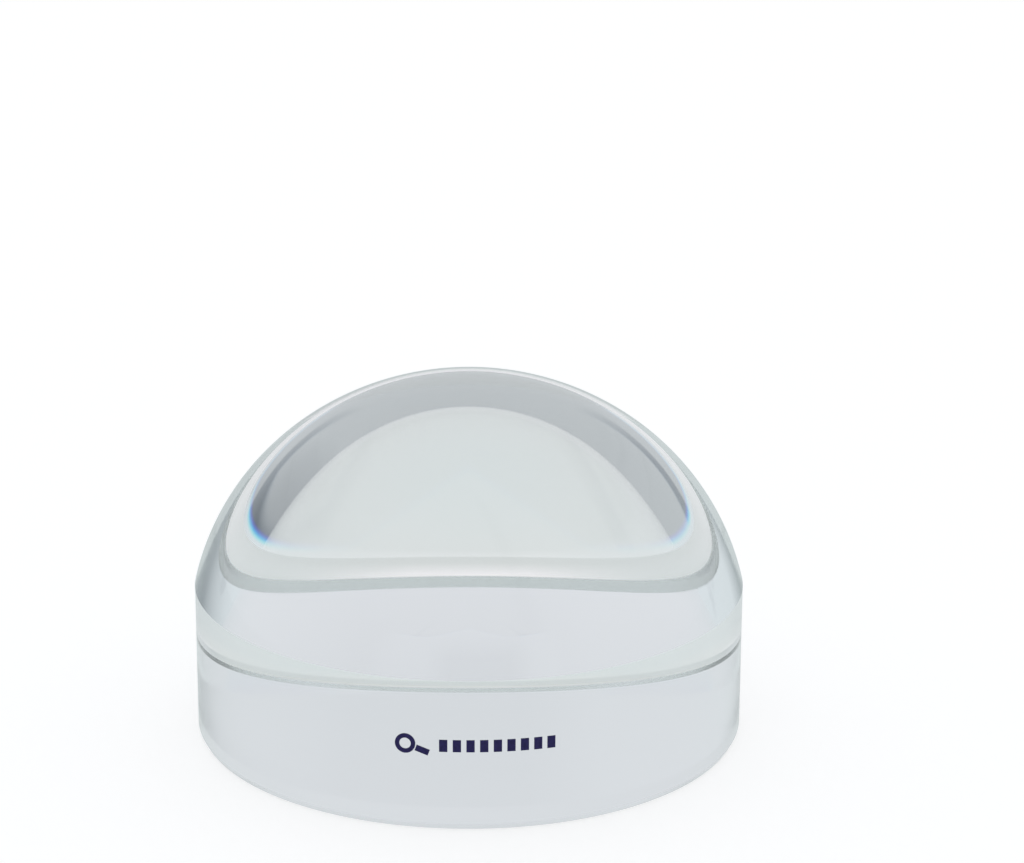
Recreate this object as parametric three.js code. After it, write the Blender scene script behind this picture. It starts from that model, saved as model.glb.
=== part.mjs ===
// A dome magnifier: one solid clear acrylic lens that stands on the page it enlarges, with a
// small mark printed on the front of its wall.
//
// Millimetres. +Z is up, along the optical axis. The origin is the centre of the flat base,
// and the printed mark faces -Y.

import * as THREE from "three";

// Driving dimensions of the lens
const LENS_DIAMETER = 95;
const WALL_HEIGHT = 26.2; // base to the sharp edge where the dome starts
const DOME_RISE = 35.9; // that edge to the crown
const DOME_FLATNESS = 0.945; // the dome is part of a spheroid: its half-height over its half-width
const CHAMFER_HEIGHT = 1.05; // the narrow steep chamfer round the base edge
const CHAMFER_WIDTH = 0.57;

// Driving dimensions of the printed mark, measured round and up the wall
const MARK_MIDDLE_HEIGHT = 14.9;
const INK_THICKNESS = 0.1;
const INK_GAP = 0.05; // clearance between the lens wall and the back of the ink
const RING_AT = -10.4; // centre of the mark's ring, to the left of the mark's bars
const RING_OUTER_RADIUS = 1.7;
const RING_INNER_RADIUS = 0.95;
const HANDLE_LENGTH = 2.3;
const HANDLE_WIDTH = 1.05;
const HANDLE_SLOPE = -Math.PI / 9;
const HANDLE_GAP = 0.15; // bare wall between the ring and its handle
const BAR_COUNT = 9;
const BAR_PITCH = 2.21;
const BAR_WIDTH = 1.35;
const BAR_HEIGHT = 2.1;
const FIRST_BAR_AT = -4.15; // centre of the leftmost bar

// Fineness of the facets
const LENS_SIDES = 96;
const DOME_STEPS = 22;
const RING_STEPS = 20; // per half turn of the ring

const LENS_RADIUS = LENS_DIAMETER / 2;

function lensMaterial() {
  return new THREE.MeshStandardMaterial({
    color: 0xe4ebec,
    roughness: 0.03,
    metalness: 0,
    transparent: true,
    opacity: 0.35,
  });
}

function inkMaterial() {
  return new THREE.MeshStandardMaterial({ color: 0x28235f, roughness: 0.5, metalness: 0 });
}

// The dome's outline from the wall's edge to the crown. The spheroid's centre lies below that
// edge by the depth that makes the spheroid pass through both the edge and the crown.
function domeOutline() {
  const reach = DOME_FLATNESS * LENS_RADIUS;
  const centreDepth = (reach ** 2 - DOME_RISE ** 2) / (2 * DOME_RISE);
  const halfHeight = DOME_RISE + centreDepth;
  const halfWidth = halfHeight / DOME_FLATNESS;
  const edgeAngle = Math.asin(centreDepth / halfHeight);
  const centreHeight = WALL_HEIGHT - centreDepth;
  const arc = new THREE.EllipseCurve(0, centreHeight, halfWidth, halfHeight, edgeAngle, Math.PI / 2);
  const outline = arc.getPoints(DOME_STEPS);
  outline[0].set(LENS_RADIUS, WALL_HEIGHT);
  outline[DOME_STEPS].set(0, WALL_HEIGHT + DOME_RISE);
  return outline;
}

// The whole lens: flat base, chamfer, straight wall and dome, turned round the optical axis.
function lensBody() {
  const profile = [
    new THREE.Vector2(0, 0),
    new THREE.Vector2(LENS_RADIUS - CHAMFER_WIDTH, 0),
    new THREE.Vector2(LENS_RADIUS, CHAMFER_HEIGHT),
    ...domeOutline(),
  ];
  const lens = new THREE.Mesh(new THREE.LatheGeometry(profile, LENS_SIDES), lensMaterial());
  lens.name = "lens_body";
  lens.rotation.x = Math.PI / 2; // the lathe turns about Y, the lens about Z
  return lens;
}

// One island of ink: a flat outline (x round the wall from its front, y up the wall) given its
// thickness and wrapped round the wall.
function inkIsland(name, outline) {
  const geometry = new THREE.ExtrudeGeometry(outline, {
    depth: INK_THICKNESS,
    bevelEnabled: false,
    curveSegments: RING_STEPS,
  });
  const position = geometry.getAttribute("position");
  for (let i = 0; i < position.count; i++) {
    const angle = position.getX(i) / LENS_RADIUS;
    const radius = LENS_RADIUS + INK_GAP + position.getZ(i);
    position.setXYZ(i, radius * Math.sin(angle), -radius * Math.cos(angle), position.getY(i));
  }
  const island = new THREE.Mesh(geometry, inkMaterial());
  island.name = name;
  return island;
}

// A rectangle centred on a point and turned about it.
function rectangle(centre, width, height, turn = 0) {
  const corners = [
    [-width / 2, -height / 2],
    [width / 2, -height / 2],
    [width / 2, height / 2],
    [-width / 2, height / 2],
  ];
  const origin = new THREE.Vector2();
  return new THREE.Shape(
    corners.map(([x, y]) => new THREE.Vector2(x, y).rotateAround(origin, turn).add(centre)),
  );
}

// A plain pictogram of a hand magnifier: a ring, and a handle that slopes down to its right.
function pictogram() {
  const along = new THREE.Vector2(Math.cos(HANDLE_SLOPE), Math.sin(HANDLE_SLOPE));
  const handleEnd = RING_OUTER_RADIUS + HANDLE_GAP + HANDLE_LENGTH;
  const handleDrop = HANDLE_WIDTH / 2 * along.x - handleEnd * along.y;
  const ringHeight = MARK_MIDDLE_HEIGHT + (handleDrop - RING_OUTER_RADIUS) / 2;
  const ringCentre = new THREE.Vector2(RING_AT, ringHeight);

  const ring = new THREE.Shape().absarc(ringCentre.x, ringCentre.y, RING_OUTER_RADIUS, 0, 2 * Math.PI);
  ring.holes.push(
    new THREE.Path().absarc(ringCentre.x, ringCentre.y, RING_INNER_RADIUS, 0, 2 * Math.PI, true),
  );

  const handleReach = RING_OUTER_RADIUS + HANDLE_GAP + HANDLE_LENGTH / 2;
  const handleCentre = ringCentre.clone().addScaledVector(along, handleReach);
  const handle = rectangle(handleCentre, HANDLE_LENGTH, HANDLE_WIDTH, HANDLE_SLOPE);
  return [inkIsland("mark_ring", ring), inkIsland("mark_handle", handle)];
}

// A row of plain upright bars beside the pictogram.
function bars() {
  return Array.from({ length: BAR_COUNT }, (_, i) => {
    const centre = new THREE.Vector2(FIRST_BAR_AT + i * BAR_PITCH, MARK_MIDDLE_HEIGHT);
    return inkIsland("mark_bar_" + (i + 1), rectangle(centre, BAR_WIDTH, BAR_HEIGHT));
  });
}

const printedMark = new THREE.Group();
printedMark.add(...pictogram(), ...bars());

const magnifier = new THREE.Group();
magnifier.add(lensBody(), printedMark);

export default magnifier;
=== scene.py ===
"""Looks for a dome magnifier: a solid clear acrylic lens with a small printed mark on its wall."""

import math

import bmesh
import bpy
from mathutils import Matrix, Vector


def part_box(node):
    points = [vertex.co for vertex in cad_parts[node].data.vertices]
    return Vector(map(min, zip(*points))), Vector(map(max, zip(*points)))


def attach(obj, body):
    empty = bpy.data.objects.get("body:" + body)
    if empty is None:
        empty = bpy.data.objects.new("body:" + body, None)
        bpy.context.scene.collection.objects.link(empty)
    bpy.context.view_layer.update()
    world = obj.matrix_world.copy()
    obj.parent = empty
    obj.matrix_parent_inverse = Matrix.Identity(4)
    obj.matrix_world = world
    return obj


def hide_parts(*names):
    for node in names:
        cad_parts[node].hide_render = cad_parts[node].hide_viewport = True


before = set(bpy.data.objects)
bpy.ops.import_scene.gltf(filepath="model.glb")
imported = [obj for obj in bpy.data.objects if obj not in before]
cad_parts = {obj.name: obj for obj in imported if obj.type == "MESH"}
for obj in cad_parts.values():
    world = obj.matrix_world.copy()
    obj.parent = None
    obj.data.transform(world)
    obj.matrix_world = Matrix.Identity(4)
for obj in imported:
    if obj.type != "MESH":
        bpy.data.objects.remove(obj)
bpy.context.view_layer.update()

# The lens, in metres. Its diameter and its overall height come from the frame.
WALL_HEIGHT = 0.0262
DOME_FLATNESS = 0.945  # the dome's half-height over its half-width
CHAMFER_HEIGHT = 0.00105
CHAMFER_WIDTH = 0.00057
LENS_SIDES = 480
DOME_STEPS = 140
ACRYLIC_IOR = 1.491

# The studio
CAMERA_AT = Vector((0.0, -0.55164, 0.23346))
CAMERA_TILT = math.radians(71.871)
FOCAL_LENGTH = 119.01
SHIFT_ASIDE = 0.0421
FLOOR_RADIUS = 4.0
FLOOR_DROP = 0.0002  # the lens stands on a trace of air, as a hard lens does on a table

# The tent's camera side, as directions seen from the lens. Angles in degrees; those round the
# vertical are counted from the camera's side.
OPENING_TOP = 22.3  # below this the tent is open, and the bright room shows
OPENING_SHOULDER = 18.5  # closer to the middle than this, the opening rises
OPENING_RISE = 0.27  # degrees up for each degree towards the middle
OPENING_SOFTNESS = 0.17
FOLD_AT = 27  # a fold that darkens the cloth
FOLD_HALF_WIDTH = 9
SEAM_CENTRE_HEIGHT = 1.8  # the seam is an arch round this height
SEAM_RADIUS = 30.2
SEAM_HALF_WIDTH = 0.65
SEAM_WIDENS_FROM = 21  # further round than this, the seam opens into the fold
SEAM_WIDENING = 0.17  # degrees wider on each side for each degree round
OPERATOR_AT = 4.2
OPERATOR_HALF_WIDTH = 17.2
OPERATOR_TOP = 19.0
OPERATOR_SOFTNESS = 5.0
FRINGE = 0.17  # how far apart the lens sets red from green, and green from blue


def add_node(tree, kind, inputs=None, **settings):
    """Adds a shader node. An input's value is a number, a colour or another node's output socket."""
    node = tree.nodes.new(kind)
    for name, value in settings.items():
        setattr(node, name, value)
    for name, value in (inputs or {}).items():
        if isinstance(value, bpy.types.NodeSocket):
            tree.links.new(value, node.inputs[name])
        else:
            node.inputs[name].default_value = value
    return node


def new_material(name):
    """A material with an empty node tree, and that tree."""
    material = bpy.data.materials.new(name)
    material.use_nodes = True
    material.node_tree.nodes.clear()
    return material, material.node_tree


def blend(tree, value, start, end, first, second, kind="LINEAR"):
    """The colour first where value is at start, second where it is at end, and a blend between."""
    reach = {"Value": value, "From Min": start, "From Max": end}
    factor = add_node(tree, "ShaderNodeMapRange", reach, interpolation_type=kind).outputs["Result"]
    inputs = {"Factor": factor, "A": first, "B": second}
    return add_node(tree, "ShaderNodeMix", inputs, data_type="RGBA").outputs["Result"]


def calculate(tree, operation, *values):
    """A Math node's result."""
    return add_node(
        tree, "ShaderNodeMath", dict(enumerate(values)), operation=operation
    ).outputs["Value"]


def add_noise(tree, place, scale, low, high):
    """Soft mottling of that scale (patches to the metre), as a number from low to high."""
    noise = add_node(tree, "ShaderNodeTexNoise", {"Vector": place, "Scale": scale, "Detail": 1.0})
    reach = {"Value": noise.outputs["Fac"], "From Min": 0.35, "From Max": 0.65}
    return add_node(
        tree, "ShaderNodeMapRange", {**reach, "To Min": low, "To Max": high}
    ).outputs["Result"]


def add_bump(tree, height, depth):
    """A normal from a height of 0 to 1, where 1 stands for that depth in metres."""
    return add_node(
        tree, "ShaderNodeBump", {"Height": height, "Distance": depth, "Strength": 1.0}
    ).outputs["Normal"]


def acrylic_material(name, mottling, smoothest, roughest):
    """Clear acrylic, with faint patches where handling or grinding has dulled it."""
    material, tree = new_material(name)
    place = add_node(tree, "ShaderNodeTexCoord").outputs["Object"]
    surface = add_node(
        tree,
        "ShaderNodeBsdfPrincipled",
        {
            "Base Color": (1.0, 1.0, 1.0, 1.0),
            "Roughness": add_noise(tree, place, mottling, smoothest, roughest),
            "IOR": ACRYLIC_IOR,
            "Transmission Weight": 1.0,
        },
    )
    tint = add_node(
        tree, "ShaderNodeVolumeAbsorption", {"Color": (0.6, 0.75, 0.78, 1.0), "Density": 1.0}
    )
    add_node(
        tree,
        "ShaderNodeOutputMaterial",
        {"Surface": surface.outputs["BSDF"], "Volume": tint.outputs["Volume"]},
    )
    return material


def ink_material():
    """Pad-printing ink: a thin dark film, a little uneven in thickness and with a fine grain."""
    material, tree = new_material("printed_ink")
    place = add_node(tree, "ShaderNodeTexCoord").outputs["Object"]
    thick, thin = (0.010, 0.006, 0.075, 1.0), (0.022, 0.015, 0.12, 1.0)
    unevenness = add_noise(tree, place, 2500.0, 0.0, 1.0)
    surface = add_node(
        tree,
        "ShaderNodeBsdfPrincipled",
        {
            "Base Color": blend(tree, unevenness, 0.0, 1.0, thick, thin),
            "Roughness": add_noise(tree, place, 6000.0, 0.35, 0.5),
            "Specular IOR Level": 0.3,
            "Normal": add_bump(tree, add_noise(tree, place, 9000.0, 0.0, 1.0), 0.000006),
        },
    )
    add_node(tree, "ShaderNodeOutputMaterial", {"Surface": surface.outputs["BSDF"]})
    return material


def lens_profile(radius, height):
    """Points (distance from the axis, height) from the base's rim up to the crown."""
    rise = height - WALL_HEIGHT
    reach = DOME_FLATNESS * radius
    centre_depth = (reach**2 - rise**2) / (2 * rise)
    half_height = rise + centre_depth
    half_width = half_height / DOME_FLATNESS
    edge_angle = math.asin(centre_depth / half_height)
    profile = [(radius - CHAMFER_WIDTH, 0.0), (radius, CHAMFER_HEIGHT), (radius, WALL_HEIGHT)]
    for i in range(1, DOME_STEPS):
        angle = edge_angle + (math.pi / 2 - edge_angle) * i / DOME_STEPS
        profile.append(
            (half_width * math.cos(angle), WALL_HEIGHT - centre_depth + half_height * math.sin(angle))
        )
    return profile


def lens_piece():
    """The lens, turned from its profile. All of it is polished except the chamfer, which is satin."""
    low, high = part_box("lens_body")
    height = high.z - low.z
    bm = bmesh.new()
    rings = []
    for radius, z in lens_profile((high.x - low.x) / 2, height):
        ring = []
        for i in range(LENS_SIDES):
            angle = 2 * math.pi * i / LENS_SIDES
            ring.append(bm.verts.new((radius * math.cos(angle), radius * math.sin(angle), z)))
        rings.append(ring)
    for lower, upper in zip(rings, rings[1:]):
        for i in range(LENS_SIDES):
            j = (i + 1) % LENS_SIDES
            bm.faces.new((lower[i], lower[j], upper[j], upper[i]))
    bm.faces.new(list(reversed(rings[0])))
    crown = bm.verts.new((0, 0, height))
    for i in range(LENS_SIDES):
        bm.faces.new((rings[-1][i], rings[-1][(i + 1) % LENS_SIDES], crown))
    bm.faces.ensure_lookup_table()
    for i in range(LENS_SIDES):  # the first band of faces is the chamfer
        bm.faces[i].material_index = 1
    mesh = bpy.data.meshes.new("acrylic_lens")
    bm.to_mesh(mesh)
    bm.free()
    mesh.shade_smooth()
    mesh.set_sharp_from_angle(angle=math.radians(6))
    lens = bpy.data.objects.new("acrylic_lens", mesh)
    bpy.context.scene.collection.objects.link(lens)
    mesh.materials.append(acrylic_material("clear_acrylic", 90.0, 0.0, 0.03))
    mesh.materials.append(acrylic_material("satin_acrylic", 6000.0, 0.12, 0.15))
    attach(lens, "root")
    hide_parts("lens_body")


def finish_ink():
    """Gives the mark's CAD nodes their ink."""
    ink = ink_material()
    for name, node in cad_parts.items():
        if name.startswith("mark_"):
            for slot in node.material_slots:
                slot.material = ink


def studio_floor():
    """A translucent table lit from below as well as from above, so the lens casts hardly any shadow."""
    bm = bmesh.new()
    bmesh.ops.create_circle(bm, cap_ends=True, segments=96, radius=FLOOR_RADIUS)
    bmesh.ops.translate(bm, vec=(0, 0, -FLOOR_DROP), verts=bm.verts)
    mesh = bpy.data.meshes.new("studio_floor")
    bm.to_mesh(mesh)
    bm.free()
    floor = bpy.data.objects.new("studio_floor", mesh)
    bpy.context.scene.collection.objects.link(floor)
    mesh.materials.append(floor_material())


def painted_table_glow(tree):
    """How brightly the table shines through the lens, with light and shade painted into its glow. A
    painted rim of light lies on the table just behind the lens.
    """
    place = add_node(tree, "ShaderNodeNewGeometry").outputs["Position"]
    axes = add_node(tree, "ShaderNodeSeparateXYZ", {"Vector": place}).outputs
    level = add_node(tree, "ShaderNodeCombineXYZ", {"X": axes["X"], "Y": axes["Y"]}).outputs["Vector"]
    from_axis = add_node(
        tree, "ShaderNodeVectorMath", {0: level}, operation="LENGTH"
    ).outputs["Value"]
    from_wall = calculate(tree, "SUBTRACT", from_axis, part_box("lens_body")[1].x)
    aside = calculate(tree, "ABSOLUTE", axes["X"])

    # Painted shade: the glow is darker towards the camera's side and to the left, and settles to one
    # grey further out.
    grey = blend(tree, axes["Y"], -0.12, 0.0, (0.40, 0.425, 0.42, 1.0), (0.55, 0.58, 0.575, 1.0))
    grey = blend(tree, from_axis, 0.06, 0.12, grey, (0.42, 0.455, 0.45, 1.0))
    grey = blend(tree, axes["X"], -0.12, -0.06, (0.32, 0.34, 0.34, 1.0), grey)

    # From under the wall outwards: a painted contact shadow, a painted bright edge, painted light as
    # the lens would gather it, and the grey.
    gathered = blend(tree, aside, 0.005, 0.013, (0.585, 0.60, 0.59, 1.0), grey)
    edge = blend(tree, aside, 0.004, 0.012, (0.80, 0.78, 0.79, 1.0), (0.59, 0.62, 0.615, 1.0))
    rim = blend(tree, from_wall, -0.0013, -0.0006, (0.40, 0.42, 0.42, 1.0), edge)
    rim = blend(tree, from_wall, 0.0002, 0.0018, rim, gathered)
    rim = blend(tree, from_wall, 0.0020, 0.0050, rim, grey)
    return blend(tree, axes["Y"], 0.02, 0.03, grey, rim)


def floor_material():
    """White paper to the camera. Through the lens it is a matt table lit from below, whose glow carries
    painted light and shade.
    """
    material, tree = new_material("studio_floor")
    seen = add_node(tree, "ShaderNodeLightPath").outputs["Is Camera Ray"]
    surface = add_node(
        tree,
        "ShaderNodeBsdfPrincipled",
        {
            "Base Color": blend(tree, seen, 0.0, 1.0, (0.28, 0.30, 0.30, 1.0), (0.47, 0.47, 0.47, 1.0)),
            "Emission Color": blend(tree, seen, 0.0, 1.0, painted_table_glow(tree), (0.70, 0.70, 0.70, 1.0)),
            "Emission Strength": 1.0,
            "Roughness": 0.5,
            "Specular IOR Level": 0.0,
        },
    )
    add_node(tree, "ShaderNodeOutputMaterial", {"Surface": surface.outputs["BSDF"]})
    return material


def bearings(tree, direction):
    """A direction's angle above the horizon, and its angle round from the camera's side."""
    axes = add_node(tree, "ShaderNodeSeparateXYZ", {"Vector": direction}).outputs
    height = calculate(tree, "ARCSINE", axes["Z"])
    around = calculate(tree, "ARCTAN2", axes["X"], calculate(tree, "MULTIPLY", axes["Y"], -1.0))
    return height, around


def tent_light(tree, direction):
    """The tent's light from a direction: brighter behind the lens, and open on the camera's side."""
    axes = add_node(tree, "ShaderNodeSeparateXYZ", {"Vector": direction}).outputs
    height, around = bearings(tree, direction)
    aside = calculate(tree, "ABSOLUTE", around)

    back = blend(tree, axes["Z"], 0.38, 0.6, (0.712, 0.737, 0.766, 1.0), (0.75, 0.767, 0.80, 1.0))
    cloth = blend(tree, axes["Y"], -0.85, 0.5, (0.49, 0.516, 0.531, 1.0), back)
    past_fold = calculate(tree, "SUBTRACT", around, math.radians(FOLD_AT))
    from_fold = calculate(tree, "ABSOLUTE", past_fold)
    fold_reach = math.radians(FOLD_HALF_WIDTH)
    cloth = blend(tree, from_fold, 0.0, fold_reach, (0.29, 0.31, 0.33, 1.0), cloth)

    seam_height = math.radians(SEAM_CENTRE_HEIGHT)
    middle = Vector((0, -math.cos(seam_height), math.sin(seam_height)))
    towards = add_node(
        tree, "ShaderNodeVectorMath", {0: direction, 1: middle}, operation="DOT_PRODUCT"
    ).outputs["Value"]
    from_middle = calculate(tree, "ARCCOSINE", towards)

    # The seam fades towards the top of its arch, and widens to the fold on its right.
    beyond = calculate(tree, "SUBTRACT", around, math.radians(SEAM_WIDENS_FROM))
    beyond = calculate(tree, "MAXIMUM", beyond, 0.0)
    least_width, least_radius = math.radians(SEAM_HALF_WIDTH), math.radians(SEAM_RADIUS)
    half_width = calculate(tree, "MULTIPLY_ADD", beyond, SEAM_WIDENING, least_width)
    radius = calculate(tree, "MULTIPLY_ADD", beyond, SEAM_WIDENING, least_radius)
    from_seam = calculate(tree, "ABSOLUTE", calculate(tree, "SUBTRACT", from_middle, radius))
    across = calculate(tree, "DIVIDE", from_seam, half_width)
    dark = blend(
        tree,
        around,
        math.radians(20),
        math.radians(25.3),
        (0.24, 0.27, 0.30, 1.0),
        (0.045, 0.06, 0.08, 1.0),
    )
    seam = blend(tree, aside, math.radians(13), math.radians(20), cloth, dark)
    arch = blend(tree, across, 0.65, 1.25, seam, cloth, "SMOOTHSTEP")

    room = blend(
        tree, from_middle, math.radians(34), math.radians(42), (0.74, 0.79, 0.82, 1.0), cloth
    )
    inwards = calculate(tree, "SUBTRACT", math.radians(OPENING_SHOULDER), aside)
    inwards = calculate(tree, "MAXIMUM", inwards, 0.0)
    top = calculate(tree, "MULTIPLY_ADD", inwards, OPENING_RISE, math.radians(OPENING_TOP))
    above = calculate(tree, "SUBTRACT", height, top)
    soft = math.radians(OPENING_SOFTNESS)
    return blend(tree, above, -soft, soft, room, arch)


def past_operator(tree, direction, light):
    """The light that comes past the dark clothes of somebody who stands by the camera."""
    height, around = bearings(tree, direction)
    off_centre = calculate(tree, "SUBTRACT", around, math.radians(OPERATOR_AT))
    sideways = calculate(tree, "ABSOLUTE", off_centre)
    side, head = math.radians(OPERATOR_HALF_WIDTH), math.radians(OPERATOR_TOP)
    soft = math.radians(OPERATOR_SOFTNESS)
    operator = blend(tree, sideways, side - soft, side + soft, (0.07, 0.10, 0.13, 1.0), light)
    return blend(tree, height, head - soft, head + soft, operator, light)


def studio_light():
    """A light tent. Its red and blue are set slightly apart, as the lens would spread its edges."""
    world = bpy.data.worlds.new("light_tent")
    bpy.context.scene.world = world
    world.use_nodes = True
    world.cycles.sampling_method = "NONE"  # it is bright all round, so aiming rays at it gains nothing
    tree = world.node_tree
    direction = add_node(tree, "ShaderNodeTexCoord").outputs["Generated"]
    tones = {}
    for tone, side in (("Red", 1), ("Green", 0), ("Blue", -1)):
        raised = (0, 0, side * math.radians(FRINGE))
        spread = add_node(tree, "ShaderNodeVectorMath", {0: direction, 1: raised}, operation="ADD")
        light = tent_light(tree, spread.outputs["Vector"])
        tones[tone] = add_node(tree, "ShaderNodeSeparateColor", {"Color": light}).outputs[tone]
    fringed = add_node(tree, "ShaderNodeCombineColor", tones).outputs["Color"]
    whole = past_operator(tree, direction, fringed)
    tree.links.new(whole, tree.nodes["Background"].inputs["Color"])


def studio_camera():
    data = bpy.data.cameras.new("camera")
    data.lens = FOCAL_LENGTH
    data.shift_x = SHIFT_ASIDE
    data.clip_start = 0.01
    camera = bpy.data.objects.new("camera", data)
    camera.location = CAMERA_AT
    camera.rotation_euler = (CAMERA_TILT, 0, 0)
    bpy.context.scene.collection.objects.link(camera)
    bpy.context.scene.camera = camera


lens_piece()
finish_ink()
studio_floor()
studio_light()
studio_camera()
bpy.context.scene.view_settings.view_transform = "Standard"
# Light is mirrored many times inside the lens before it leaves, which the usual limits would cut off.
bpy.context.scene.cycles.max_bounces = 24
bpy.context.scene.cycles.glossy_bounces = 16
bpy.context.scene.cycles.transmission_bounces = 16
